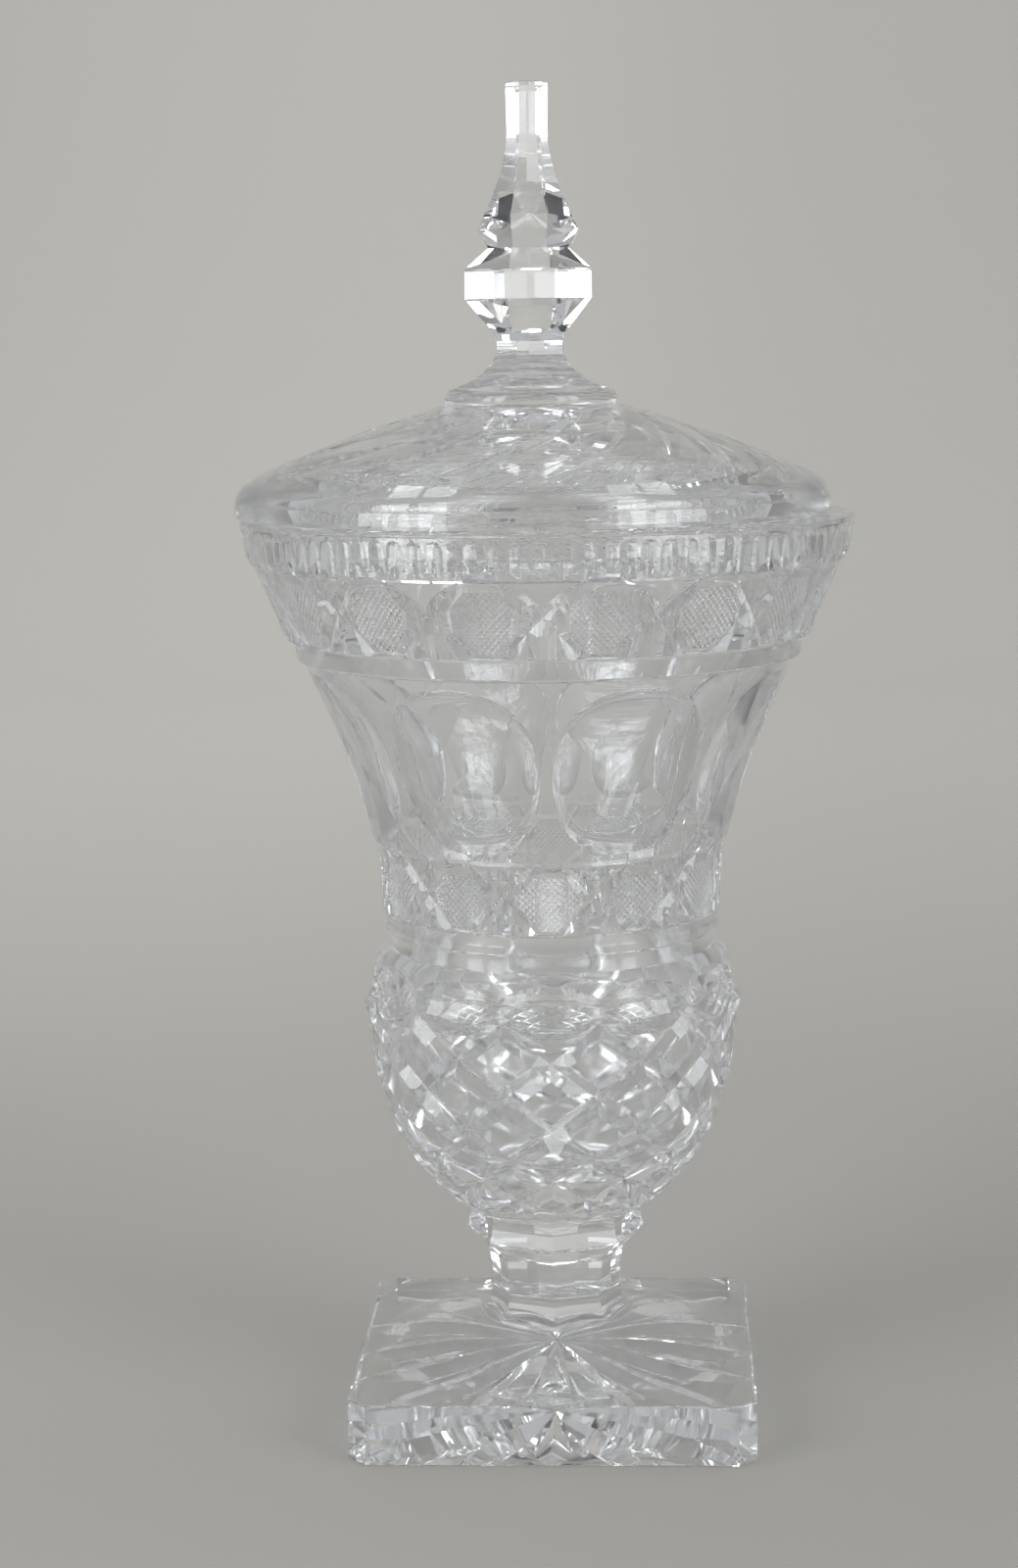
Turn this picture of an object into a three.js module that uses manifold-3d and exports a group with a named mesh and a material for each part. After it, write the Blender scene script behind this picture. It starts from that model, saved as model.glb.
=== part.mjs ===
// A covered compote of cut glass: square star-cut foot, eight-sided stem, urn-shaped bowl with bands of
// mitre cuts, domed lid with swirling leaf cuts, and a six-sided spire finial.
// Millimetres, +Z up, front towards -Y. The origin is the middle of the foot's underside.

import * as THREE from "three";
import { mergeVertices } from "three/addons/utils/BufferGeometryUtils.js";
import Module from "manifold-3d";

const wasm = await Module();
wasm.setup();

// Foot: a square plate whose top rises in a low round dome, then in a short neck up to the stem
const footSide = 130;
const footThickness = 19.8;
const footCorner = 5.8;
const footEdge = 0.6;
const footDomeReach = 62;
const footDomeHeight = 11;
const footDomeTopRadius = 25.5;
const footNeckHeight = 4.7;
const footNeckRadius = 22.2;

// Star cut under the foot
const starRays = 16;
const starMargin = 3.5;
const starCornerReach = 77;
const starDepth = 4.6;
const starFlank = 50;
const minorRayStart = 14;
const minorRayReach = 47;
const minorRayDepth = 2.8;

// Stem
const stemSides = 8;
const stemHeight = 32.5;
const stemFootRadius = 21.8;
const stemNeckRadius = 21.2;
const stemKnopRadius = 29.5;
const stemTopRadius = 28;
const stemNeckHeight = 6.3;
const stemUndercutHeight = 16.5;
const stemUndercutRadius = 22.5;
const stemKnopHeight = 23.7;

// Bowl heights, each counted from the top of the one below
const bulbHeight = 73;
const shoulderHeight = 15.4;
const neckHeight = 5.3;
const beadHeight = 6.9;
const lowerBandHeight = 23.4;
const bodyHeight = 58.8;
const ringHeight = 6.9;
const upperBandHeight = 25;
const rimHeight = 13.3;

// Bowl radii
const bulbFootRadius = 29.6;
const bulbRadius = 62.4;
const neckRadius = 53.4;
const beadRadius = 54.6;
const lowerBandFootRadius = 55.2;
const lowerBandTopRadius = 56.6;
const bodyFootRadius = 58;
const bodyTopRadius = 79.8;
const ringFootRadius = 81;
const ringTopRadius = 82.4;
const upperBandFootRadius = 84.8;
const rimFootRadius = 96.6;
const rimLedge = 1.7;
const upperBandTopRadius = rimFootRadius - rimLedge;
const rimRadius = 98.9;
const rimChamfer = 0.8;
const bandGroove = 1.1;
const bandGrooveHeight = 4.6;

// Hollow of the bowl
const wall = 8.6;
const bulbWall = 11.6;
const neckWall = 7.6;
const rimWall = 10.4;
const rimFootWall = 8.1;
const bowlFloor = 13;
const floorDish = 1.5;
const shoulderEase = 2;

// Cuts in the bowl
const bowlTurn = 0.8;
const rimNotches = 96;
const rimNotchDepth = 1.15;
const rimNotchFlank = 68;
const rimNotchTop = 2.6;
const ovals = 8;
const ovalWidth = 47;
const ovalHeight = 50;
const ovalDepth = 3.8;
const ovalFoot = 4;
const ovalPoints = 16;
const lobes = 12;
const lobeDepth = 7;
const lobeBulge = 9;
const lobeWidth = 44.4;
const lobeHeight = 20.8;
const lobeLift = 6;
const diamondDepth = 2.9;
const diamondFlank = 54;
const diamondSlant = 1.25;

// Lid
const lidShift = -4.6;
const seatGap = 0.3;
const lidInset = 3.1;
const lidRadius = rimRadius - lidInset;
const lidEdgeHeight = 8.3;
const lidEdgeRound = 1.2;
const domeHeight = 26.6;
const lidTopRadius = 29.6;
const lidThickness = 8;
const flangeDepth = 8;
const flangeThickness = 6.5;
const flangeClearance = 1;

// Leaf cuts in the lid
const leaves = 16;
const leafStart = 34;
const leafEnd = 87;
const leafSwirl = 46;
const leafPhase = -21;
const leafDepth = 2.5;
const leafFlank = 67;

// Finial: radii of the six-sided parts are to the middle of a face
const finialSides = 6;
const collarRadius = 27.8;
const collarLipRadius = 26.4;
const collarLipHeight = 4.6;
const collarHeight = 17.6;
const finialNeckRadius = 10.4;
const finialNeckHeight = 5.4;
const knopRadius = 20;
const knopFootRadius = 11.6;
const knopTopRadius = 12.6;
const knopLowerHeight = 10.6;
const knopBandHeight = 9.2;
const knopUpperHeight = 6.6;
const spireFootRadius = 15.9;
const spireFootHeight = 5.8;
const spireWaistRadius = 6.4;
const spireTipRadius = 6.7;
const spireHeight = 46;
const spireTipHeight = 2;

// How finely round surfaces are divided
const roundSides = 48;
const hollowSides = 32;
const cutClearance = 1.2;
const ledge = 0.3;

// Heights of the levels above the ground
const footNeckFoot = footThickness + footDomeHeight;
const stemFoot = footNeckFoot + footNeckHeight;
const bulbFoot = stemFoot + stemHeight;
const shoulderFoot = bulbFoot + bulbHeight;
const neckFoot = shoulderFoot + shoulderHeight;
const beadFoot = neckFoot + neckHeight;
const lowerBandFoot = beadFoot + beadHeight;
const bodyFoot = lowerBandFoot + lowerBandHeight;
const ringFoot = bodyFoot + bodyHeight;
const upperBandFoot = ringFoot + ringHeight;
const rimFoot = upperBandFoot + upperBandHeight;
const rimTop = rimFoot + rimHeight;
const lidSeat = rimTop + seatGap;
const domeFoot = lidSeat + lidEdgeHeight;
const lidTop = domeFoot + domeHeight;

// Inside of the rim
const rimInnerTop = rimRadius - rimWall;
const rimInnerFoot = rimFootRadius - rimFootWall;

const degrees = (angle) => (angle * Math.PI) / 180;
const point = (radius, height) => new THREE.Vector2(radius, height);
const smooth = (points, steps) => new THREE.SplineCurve(points).getPoints(steps);

// A closed solid from a list of points and a list of triangles, turned so that its faces point out
function closedSolid(positions, indices) {
  const corner = (i) => new THREE.Vector3().fromArray(positions, 3 * i);
  let volume = 0;
  const kept = [];
  for (let i = 0; i < indices.length; i += 3) {
    const [a, b, c] = indices.slice(i, i + 3);
    if (a !== b && b !== c && c !== a) {
      kept.push([a, b, c]);
      volume += corner(a).dot(corner(b).cross(corner(c)));
    }
  }
  const triVerts = kept.flatMap(([a, b, c]) => (volume > 0 ? [a, b, c] : [a, c, b]));
  const mesh = new wasm.Mesh({
    numProp: 3,
    vertProperties: new Float32Array(positions),
    triVerts: new Uint32Array(triVerts),
  });
  return new wasm.Manifold(mesh);
}

function solidOf(geometry) {
  const bare = geometry.clone();
  bare.deleteAttribute("normal");
  bare.deleteAttribute("uv");
  const merged = mergeVertices(bare, 1e-3);
  return closedSolid(Array.from(merged.attributes.position.array), Array.from(merged.index.array));
}

// A profile of points (radius, height) turned about the Z axis; its first side starts at the front
function turned(profile, sides) {
  const geometry = new THREE.LatheGeometry(profile, sides);
  return solidOf(geometry.rotateX(Math.PI / 2));
}

// Radius of an outline at a height, or height at a radius, between its points
function along(outline, from, to, value) {
  const points = [...outline].sort((a, b) => a[from] - b[from]);
  const next = Math.max(1, points.findIndex((p) => p[from] >= value));
  const [low, high] = [points[next - 1], points[next]];
  const share = (value - low[from]) / (high[from] - low[from]);
  return low[to] + share * (high[to] - low[to]);
}

// A place on a turned surface: its point, its outward normal, both at an angle from the front
function placeOn(outline, angle, { radius, height }) {
  const step = 0.5;
  const steep = height !== undefined;
  const at = (shift) =>
    steep
      ? point(along(outline, "y", "x", height + shift), height + shift)
      : point(radius + shift, along(outline, "x", "y", radius + shift));
  const [here, before, after] = [at(0), at(-step), at(step)];
  const run = after.sub(before).normalize();
  const flat = steep ? run.y : -run.y;
  const up = steep ? -run.x : run.x;
  const out = new THREE.Vector3(Math.sin(degrees(angle)), -Math.cos(degrees(angle)), 0);
  const normal = out.clone().multiplyScalar(flat).setZ(up);
  return { spot: out.multiplyScalar(here.x).setZ(here.y), normal };
}

// Closed solid through rings that all have the same number of points
function lofted(rings) {
  const size = rings[0].length;
  const positions = rings.flat().flatMap((p) => p.toArray());
  const indices = [];
  for (let i = 0; i + 1 < rings.length; i++) {
    for (let j = 0; j < size; j++) {
      const [a, b] = [i * size + j, i * size + ((j + 1) % size)];
      indices.push(a, b, a + size, b, b + size, a + size);
    }
  }
  const last = (rings.length - 1) * size;
  for (let j = 1; j + 1 < size; j++) {
    indices.push(0, j + 1, j, last, last + j, last + j + 1);
  }
  return closedSolid(positions, indices);
}

// A V-shaped cutter along places on a surface, as deep at each as it says
function vCutter(places, flank) {
  const slope = Math.tan(degrees(flank));
  const rings = places.map(({ spot, normal, depth }, i) => {
    const before = places[Math.max(0, i - 1)].spot;
    const after = places[Math.min(places.length - 1, i + 1)].spot;
    const side = new THREE.Vector3().subVectors(after, before).cross(normal).normalize();
    const reach = (depth + cutClearance) * slope;
    const above = spot.clone().addScaledVector(normal, cutClearance);
    return [
      spot.clone().addScaledVector(normal, -depth),
      above.clone().addScaledVector(side, reach),
      above.clone().addScaledVector(side, -reach),
    ];
  });
  return lofted(rings);
}

function around(solid, count, turn = 0) {
  return Array.from({ length: count }, (_, i) => solid.rotate([0, 0, turn + (i * 360) / count]));
}

function cut(solid, cutters) {
  return solid.subtract(wasm.Manifold.union(cutters));
}

// Foot

function footSolid() {
  const half = footSide / 2;
  const shape = new THREE.Shape();
  shape.moveTo(half, half - footCorner);
  for (let quarter = 0; quarter < 4; quarter++) {
    const [a, b] = [half, half - footCorner];
    const turn = (x, y) => new THREE.Vector2(x, y).rotateAround(point(0, 0), degrees(90 * quarter));
    const [first, second] = [turn(a, b), turn(b, a)];
    shape.lineTo(first.x, first.y);
    shape.lineTo(second.x, second.y);
  }
  const plate = new THREE.ExtrudeGeometry(shape, {
    depth: footThickness - 2 * footEdge,
    bevelThickness: footEdge,
    bevelSize: footEdge,
    bevelOffset: -footEdge,
    bevelSegments: 1,
  });
  plate.translate(0, 0, footEdge);
  const neckCurve = new THREE.QuadraticBezierCurve(
    point(footDomeTopRadius, footNeckFoot),
    point(footNeckRadius + 0.25 * (footDomeTopRadius - footNeckRadius), footNeckFoot + 0.25 * footNeckHeight),
    point(footNeckRadius, stemFoot),
  );
  const middle = footThickness / 2;
  const rise = [point(footDomeReach, footThickness), ...neckCurve.getPoints(5)];
  const dome = turned([point(0, middle), point(footDomeReach, middle), ...rise, point(0, stemFoot)], roundSides);
  return cut(solidOf(plate).add(dome), starCutters());
}

// Leaf-shaped ray under the foot, deep over the first half of its length and pointed at its tip
function starRay(angle, start, reach, depth) {
  const steps = [
    [start, 0.8 * depth],
    [0.45 * reach, depth],
    [reach + 1, -0.1],
  ];
  const places = steps.map(([radius, deep]) => ({
    spot: new THREE.Vector3(Math.sin(angle), -Math.cos(angle), 0).multiplyScalar(radius),
    normal: new THREE.Vector3(0, 0, -1),
    depth: deep,
  }));
  return vCutter(places, starFlank);
}

function starCutters() {
  const edge = footSide / 2 - starMargin;
  return Array.from({ length: 2 * starRays }, (_, i) => {
    const angle = (i * Math.PI) / starRays;
    const toEdge = edge / Math.max(Math.abs(Math.sin(angle)), Math.abs(Math.cos(angle)));
    const main = i % 2 === 0;
    return main
      ? starRay(angle, 0, Math.min(toEdge, starCornerReach), starDepth)
      : starRay(angle, minorRayStart, minorRayReach, minorRayDepth);
  });
}

// Stem

function stemSolid() {
  return turned(
    [
      point(0, stemFoot),
      point(stemFootRadius, stemFoot),
      point(stemNeckRadius, stemFoot + stemNeckHeight),
      point(stemUndercutRadius, stemFoot + stemUndercutHeight),
      point(stemKnopRadius, stemFoot + stemKnopHeight),
      point(stemTopRadius, bulbFoot),
      point(0, bulbFoot),
    ],
    stemSides,
  );
}

// Bowl

// The bulb from its top down. A point stands wherever the winding mitres cross, every half lobe round.
const crossingAngle = 180 / lobes;

function bulbPoints() {
  const curve = smooth(
    [
      point(bulbRadius, shoulderFoot),
      point(0.958 * bulbRadius, bulbFoot + 0.74 * bulbHeight),
      point(0.88 * bulbRadius, bulbFoot + 0.45 * bulbHeight),
      point(0.7 * bulbRadius, bulbFoot + 0.17 * bulbHeight),
      point(bulbFootRadius, bulbFoot),
    ],
    120,
  );
  const points = [curve[0]];
  let angle = 0;
  curve.slice(1, -1).forEach((spot, i) => {
    angle += THREE.MathUtils.radToDeg((diamondSlant * spot.distanceTo(curve[i])) / spot.x);
    if (angle >= crossingAngle * points.length) {
      points.push(spot);
    }
  });
  points[points.length - 1] = curve.at(-1);
  return points;
}

const bulbOutline = bulbPoints();

const bodyOutline = new THREE.QuadraticBezierCurve(
  point(bodyFootRadius, bodyFoot + ledge),
  point(bodyFootRadius + 0.32 * (bodyTopRadius - bodyFootRadius), bodyFoot + 0.5 * bodyHeight),
  point(bodyTopRadius, ringFoot - ledge),
).getPoints(6);

// The band's cone, with a groove along its top edge
function bandOutline(foot, height, footRadius, topRadius) {
  const grooveFoot = height - bandGrooveHeight;
  const radiusAt = (rise) => footRadius + ((topRadius - footRadius) * rise) / height;
  return [
    point(footRadius, foot + ledge),
    point(radiusAt(grooveFoot), foot + grooveFoot),
    point(radiusAt(height) - bandGroove, foot + height - 0.5 * bandGrooveHeight),
    point(topRadius, foot + height - ledge),
  ];
}

const bowlOutline = [
  ...[...bulbOutline].reverse(),
  point(0.95 * bulbRadius, shoulderFoot + 0.5 * shoulderHeight),
  point(neckRadius, neckFoot),
  point(neckRadius, beadFoot - ledge),
  point(beadRadius, beadFoot + ledge),
  point(beadRadius, lowerBandFoot - ledge),
  ...bandOutline(lowerBandFoot, lowerBandHeight, lowerBandFootRadius, lowerBandTopRadius),
  ...bodyOutline,
  point(ringFootRadius, ringFoot + ledge),
  point(ringTopRadius, upperBandFoot - ledge),
  ...bandOutline(upperBandFoot, upperBandHeight, upperBandFootRadius, upperBandTopRadius),
  point(rimFootRadius, rimFoot + ledge),
  point(rimRadius, rimTop - rimChamfer),
  point(rimRadius - rimChamfer, rimTop),
];

function hollowSolid() {
  const floor = bulbFoot + bowlFloor;
  const bulbHollow = bulbRadius - bulbWall;
  const bandMiddle = 0.5 * (upperBandFootRadius + upperBandTopRadius);
  const profile = smooth(
    [
      point(0.45 * bulbHollow, floor + floorDish),
      point(0.76 * bulbHollow, floor + 0.2 * (shoulderFoot - floor)),
      point(0.93 * bulbHollow, floor + 0.5 * (shoulderFoot - floor)),
      point(bulbHollow, shoulderFoot - shoulderEase),
      point(neckRadius - neckWall, neckFoot),
      point(lowerBandFootRadius - wall, lowerBandFoot + 0.5 * lowerBandHeight),
      point(bodyFootRadius - wall, bodyFoot),
      point(bodyFootRadius - wall + 0.4 * (bodyTopRadius - bodyFootRadius), bodyFoot + 0.5 * bodyHeight),
      point(ringFootRadius - wall, ringFoot),
      point(bandMiddle - wall, rimFoot - 0.5 * upperBandHeight),
      point(rimInnerFoot, rimFoot),
    ],
    11,
  );
  const above = rimTop + cutClearance;
  const mouth = [point(rimInnerTop, rimTop), point(rimInnerTop, above), point(0, above)];
  return turned([point(0, floor), ...profile, ...mouth], hollowSides);
}

// Notches round the rim, open at its lower edge
function rimCutters() {
  const [rimStart, rimEnd] = bowlOutline.slice(-3);
  const skin = [rimStart.clone().lerp(rimEnd, -1), rimEnd];
  const steps = [
    [rimTop - rimNotchTop, -0.2],
    [rimFoot - 1, rimNotchDepth],
  ];
  const places = steps.map(([height, depth]) => ({ ...placeOn(skin, 0, { height }), depth }));
  return around(vCutter(places, rimNotchFlank), rimNotches);
}

// Big oval hollows round the body, deepest low down
function ovalCutters() {
  const { spot, normal } = placeOn(bowlOutline, 0, { height: bodyFoot + ovalFoot + ovalHeight / 2 });
  const rise = new THREE.Vector3(1, 0, 0).cross(normal).negate();
  const levels = [
    [1.06, cutClearance, 0],
    [0.86, -0.55 * ovalDepth, -0.02],
    [0.5, -0.95 * ovalDepth, -0.05],
    [0.12, -ovalDepth, -0.08],
  ];
  const rings = levels.map(([size, lift, drop]) =>
    Array.from({ length: ovalPoints }, (_, i) => {
      const angle = degrees((i * 360) / ovalPoints);
      return spot
        .clone()
        .addScaledVector(normal, lift)
        .addScaledVector(rise, (ovalHeight / 2) * (size * Math.sin(angle) + drop))
        .setX((ovalWidth / 2) * size * Math.cos(angle));
    }),
  );
  return around(lofted(rings), ovals, 180 / ovals);
}

// Scoops round the shoulder, whose lower edges make a row of lobes
function lobeCutters() {
  const scoop = new THREE.SphereGeometry(1, 14, 8);
  scoop.scale(lobeWidth / 2, lobeBulge, lobeHeight / 2);
  scoop.translate(0, lobeDepth - lobeBulge - bulbRadius, shoulderFoot + lobeLift);
  return around(solidOf(scoop), lobes);
}

// Mitres that wind down the bulb both ways and cross each other, leaving flat-topped diamonds
function diamondCutters() {
  const last = bulbOutline.length - 1;
  return [-1, 1].flatMap((way) => {
    const places = bulbOutline.slice(0, last).map((spot, i) => ({
      ...placeOn(bowlOutline, way * crossingAngle * i, { height: spot.y }),
      depth: i === last - 1 ? -0.1 : diamondDepth,
    }));
    return around(vCutter(places, diamondFlank), lobes, crossingAngle);
  });
}

function bowlSolid() {
  const blank = turned([point(0, bulbFoot), ...bowlOutline, point(0, rimTop)], roundSides);
  const cutters = [
    hollowSolid(),
    ...rimCutters(),
    ...ovalCutters(),
    ...lobeCutters(),
    ...diamondCutters(),
  ];
  return cut(blank, cutters).rotate([0, 0, bowlTurn]);
}

// Lid

const domeOutline = smooth(
  [
    point(lidTopRadius, lidTop),
    point(0.575 * lidRadius, domeFoot + 0.69 * domeHeight),
    point(0.82 * lidRadius, domeFoot + 0.345 * domeHeight),
    point(0.957 * lidRadius, domeFoot + 0.115 * domeHeight),
    point(lidRadius - 0.3, domeFoot - 0.3 * lidEdgeHeight),
  ],
  8,
);

function leafCutters() {
  const steps = [
    [0, -0.05],
    [0.06, 0.45],
    [0.25, 0.75],
    [0.55, 1],
    [0.8, 0.85],
    [1.02, -0.05],
  ];
  const places = steps.map(([share, deep]) => ({
    ...placeOn(domeOutline, leafSwirl * (1 - share), { radius: leafStart + share * (leafEnd - leafStart) }),
    depth: deep * leafDepth,
  }));
  return around(vCutter(places, leafFlank), leaves, leafPhase);
}

function lidSolid() {
  const flangeFoot = lidSeat - flangeDepth;
  const rimInner = [point(rimInnerFoot, rimFoot), point(rimInnerTop, rimTop)];
  const room = Math.min(rimInnerTop, along(rimInner, "y", "x", flangeFoot));
  const flangeRadius = room - Math.abs(lidShift) - flangeClearance;
  const flangeInner = flangeRadius - flangeThickness;
  const innerTop = lidTop - 1.15 * lidThickness;
  const innerDome = new THREE.QuadraticBezierCurve(
    point(flangeInner - 0.5, domeFoot - 0.3 * lidThickness),
    point(0.62 * flangeInner, innerTop - 0.12 * domeHeight),
    point(0, innerTop),
  ).getPoints(5);
  const profile = [
    point(0, lidTop),
    ...domeOutline,
    point(lidRadius, lidSeat + 2 * lidEdgeRound),
    point(lidRadius - lidEdgeRound, lidSeat),
    point(flangeRadius, lidSeat),
    point(flangeRadius - 0.4, flangeFoot),
    point(flangeInner, flangeFoot),
    ...innerDome,
  ];
  return cut(turned(profile, roundSides), leafCutters());
}

// Finial: six-sided faces, kept inside a round collar at the foot

function finialSolid() {
  const neckFootHeight = lidTop + collarHeight;
  const knopFoot = neckFootHeight + finialNeckHeight;
  const knopBand = knopFoot + knopLowerHeight;
  const knopBandTop = knopBand + knopBandHeight;
  const knopTop = knopBandTop + knopUpperHeight;
  const spireFoot = knopTop + spireFootHeight;
  const spireTop = spireFoot + spireHeight;
  const collarCurve = new THREE.QuadraticBezierCurve(
    point(collarRadius, lidTop + collarLipHeight),
    point(1.25 * finialNeckRadius, lidTop + 0.45 * collarHeight),
    point(finialNeckRadius, neckFootHeight),
  ).getPoints(6);
  const spireCurve = new THREE.QuadraticBezierCurve(
    point(spireFootRadius, spireFoot),
    point(spireWaistRadius, spireFoot + 0.42 * spireHeight),
    point(spireWaistRadius, spireFoot + 0.68 * spireHeight),
  ).getPoints(5);
  const faces = [
    point(0, lidTop),
    point(collarRadius, lidTop),
    ...collarCurve,
    point(knopFootRadius, knopFoot),
    point(knopRadius, knopBand),
    point(knopRadius, knopBandTop),
    point(knopTopRadius, knopTop),
    ...spireCurve,
    point(spireTipRadius, spireTop - spireTipHeight),
    point(0, spireTop),
  ];
  const toCorner = 1 / Math.cos(Math.PI / finialSides);
  const sixSided = turned(faces.map((p) => point(p.x * toCorner, p.y)), finialSides);
  const limit = turned(
    [
      point(0, lidTop),
      point(collarRadius, lidTop),
      point(collarLipRadius, lidTop + collarLipHeight),
      point(collarLipRadius, spireTop + 1),
      point(0, spireTop + 1),
    ],
    roundSides,
  );
  return sixSided.intersect(limit);
}

// Nodes

const glassColour = 0xdfe6ea;

function glassMesh(name, solid) {
  const { vertProperties, triVerts } = solid.getMesh();
  const geometry = new THREE.BufferGeometry();
  geometry.setAttribute("position", new THREE.BufferAttribute(vertProperties, 3));
  geometry.setIndex(new THREE.BufferAttribute(triVerts, 1));
  geometry.computeVertexNormals();
  const material = new THREE.MeshStandardMaterial({ color: glassColour, roughness: 0.03, metalness: 0 });
  const mesh = new THREE.Mesh(geometry, material);
  mesh.name = name;
  return mesh;
}

const compote = new THREE.Group();
const vessel = new THREE.Group();
vessel.add(glassMesh("foot", footSolid()), glassMesh("stem", stemSolid()), glassMesh("bowl", bowlSolid()));
const cover = new THREE.Group();
cover.add(glassMesh("lid", lidSolid()), glassMesh("finial", finialSolid()));
cover.position.x = lidShift;
compote.add(vessel, cover);

export default compote;
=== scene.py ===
"""Looks of the covered cut glass compote: foot, stem, bowl, lid and finial, cut again at full detail in clear
crystal, on a plain paper sweep. Shapes are written in millimetres and scaled to metres when a piece is made."""

import math

import bpy
import numpy as np
from mathutils import Matrix, Vector


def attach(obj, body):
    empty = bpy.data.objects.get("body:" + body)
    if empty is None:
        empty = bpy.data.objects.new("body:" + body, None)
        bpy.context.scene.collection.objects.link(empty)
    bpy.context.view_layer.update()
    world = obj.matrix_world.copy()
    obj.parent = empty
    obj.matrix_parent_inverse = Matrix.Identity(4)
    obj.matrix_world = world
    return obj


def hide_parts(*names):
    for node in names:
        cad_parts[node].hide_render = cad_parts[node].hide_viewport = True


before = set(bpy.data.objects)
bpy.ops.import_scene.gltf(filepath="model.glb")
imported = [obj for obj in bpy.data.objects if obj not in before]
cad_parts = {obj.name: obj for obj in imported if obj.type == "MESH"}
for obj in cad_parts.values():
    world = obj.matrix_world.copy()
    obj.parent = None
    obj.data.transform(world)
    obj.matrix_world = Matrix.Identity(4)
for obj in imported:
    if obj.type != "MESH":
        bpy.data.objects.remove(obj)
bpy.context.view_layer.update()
scene = bpy.context.scene

# Sizes in millimetres. Names that end in _foot, _top or _seat are heights above the ground.

foot_side = 130
foot_thickness = 19.8
foot_corner = 5.8
foot_edge = 0.5
foot_dome_reach = 64.2
foot_dome_radius = 25.5
foot_dome_top = 30.8

# Long rays of the star under the foot. A short one lies between each two.
star_rays = 16
star_margin = 1.0
star_start = 0.5
star_corner_reach = 82
star_depth = 4.6
star_flank = 56
minor_ray_start = 14
minor_ray_reach = 52
minor_ray_depth = 2.0

# Corner radius and height of each eight-sided level
stem_levels = [(21.8, 35.5), (21.2, 41.8), (22.5, 52), (29.5, 59.2), (28, 68)]
stem_sag = 0.35

bulb_foot = 68
shoulder_foot = 141
neck_foot = 156.4
body_foot = 192
ring_foot = 250.8
rim_foot = 282.7
bulb_foot_radius = 29.6
bulb_radius = 62.4
bulb_wall = 11.6
hollow_foot = 81
rim_inner_radius = 88.5
# How far the bowl is turned from the foot, in degrees
bowl_turn = 0.8

lid_shift = -4.6
lid_seat = 296.3
lid_top = 331.2
lid_radius = 95.75
lid_thickness = 9.2
flange_foot = 288.3
flange_clearance = 1
flange_thickness = 6.5
# Radius of the face where lid and finial meet, and of the flat top of the lid
collar_radius = 27.2
lid_flat_radius = 27.8
spire_top = 432.38

# The foot stands on the paper over a hair of air, as glass does, in metres
contact_gap = 0.0003

# How far a cutter reaches out of the surface, and the sides of a round ring
CLEAR = 1.2
SIDES = 192

# Finishes of a face: polished outside, wheel-cut, cross-hatched, inside of the bowl, bond between two pieces
FINISHES = 5
POLISHED, CUT, HATCH, INSIDE, BOND = range(FINISHES)

# Curves and closed solids. A solid is (corners, faces), in millimetres.


def spline(points, steps):
    """Catmull-Rom curve through the points."""
    p = np.array(points, float)
    last = len(p) - 1
    out = []
    for i in range(steps + 1):
        x = last * i / steps
        k = min(int(x), last - 1)
        t = x - k
        a, b, c, d = p[max(k - 1, 0)], p[k], p[k + 1], p[min(k + 2, last)]
        va, vb = (c - a) / 2, (d - b) / 2
        out.append((2 * b - 2 * c + va + vb) * t**3 + (-3 * b + 3 * c - 2 * va - vb) * t**2 + va * t + b)
    return [tuple(q) for q in out]


def bezier(a, b, c, steps):
    """Quadratic curve from a to c that heads for b."""
    a, b, c = (np.array(q, float) for q in (a, b, c))
    ts = [i / steps for i in range(steps + 1)]
    return [tuple(a * (1 - t) ** 2 + 2 * b * t * (1 - t) + c * t * t) for t in ts]


def outward(corners, faces):
    """The solid with its faces turned outwards."""
    corners = np.array(corners, float)
    volume = 0.0
    for face in faces:
        for i in range(1, len(face) - 1):
            volume += np.dot(corners[face[0]], np.cross(corners[face[i]], corners[face[i + 1]]))
    return corners, faces if volume > 0 else [tuple(reversed(face)) for face in faces]


def skin(rings):
    """Closed solid through rings of points. A ring of one point is a pole, other end rings get a cap."""
    corners, faces, starts = [], [], []
    for points in rings:
        starts.append(len(corners))
        corners.extend(points)
    for i in range(len(rings) - 1):
        a, b = starts[i], starts[i + 1]
        ring_a, ring_b = rings[i], rings[i + 1]
        n = max(len(ring_a), len(ring_b))
        for j in range(n):
            k = (j + 1) % n
            if len(ring_a) == 1:
                faces.append((a, b + k, b + j))
            elif len(ring_b) == 1:
                faces.append((a + j, a + k, b))
            else:
                faces.append((a + j, a + k, b + k, b + j))
    if len(rings[0]) > 1:
        faces.append(tuple(reversed(range(len(rings[0])))))
    if len(rings[-1]) > 1:
        faces.append(tuple(starts[-1] + j for j in range(len(rings[-1]))))
    return outward(corners, faces)


def front(angle):
    """Unit vector at an angle in degrees from the front, growing towards +X."""
    a = math.radians(angle)
    return np.array([math.sin(a), -math.cos(a), 0.0])


def ring(radius, z, sides=SIDES):
    """Round ring, or one of another outline if radius is a function of the angle."""
    if not callable(radius) and radius == 0:
        return [(0.0, 0.0, z)]
    out = []
    for i in range(sides):
        angle = 360 * i / sides
        p = front(angle) * (radius(angle) if callable(radius) else radius)
        out.append((p[0], p[1], z))
    return out


def lathe(profile):
    """Turned solid. The profile is (radius, height) from one end to the other."""
    return skin([ring(r, z) for r, z in profile])


def join(solids):
    """Several solids as one list of corners and faces."""
    corners, faces, start = [], [], 0
    for c, f in solids:
        corners.append(c)
        faces.extend(tuple(start + i for i in face) for face in f)
        start += len(c)
    return np.concatenate(corners), faces


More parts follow.
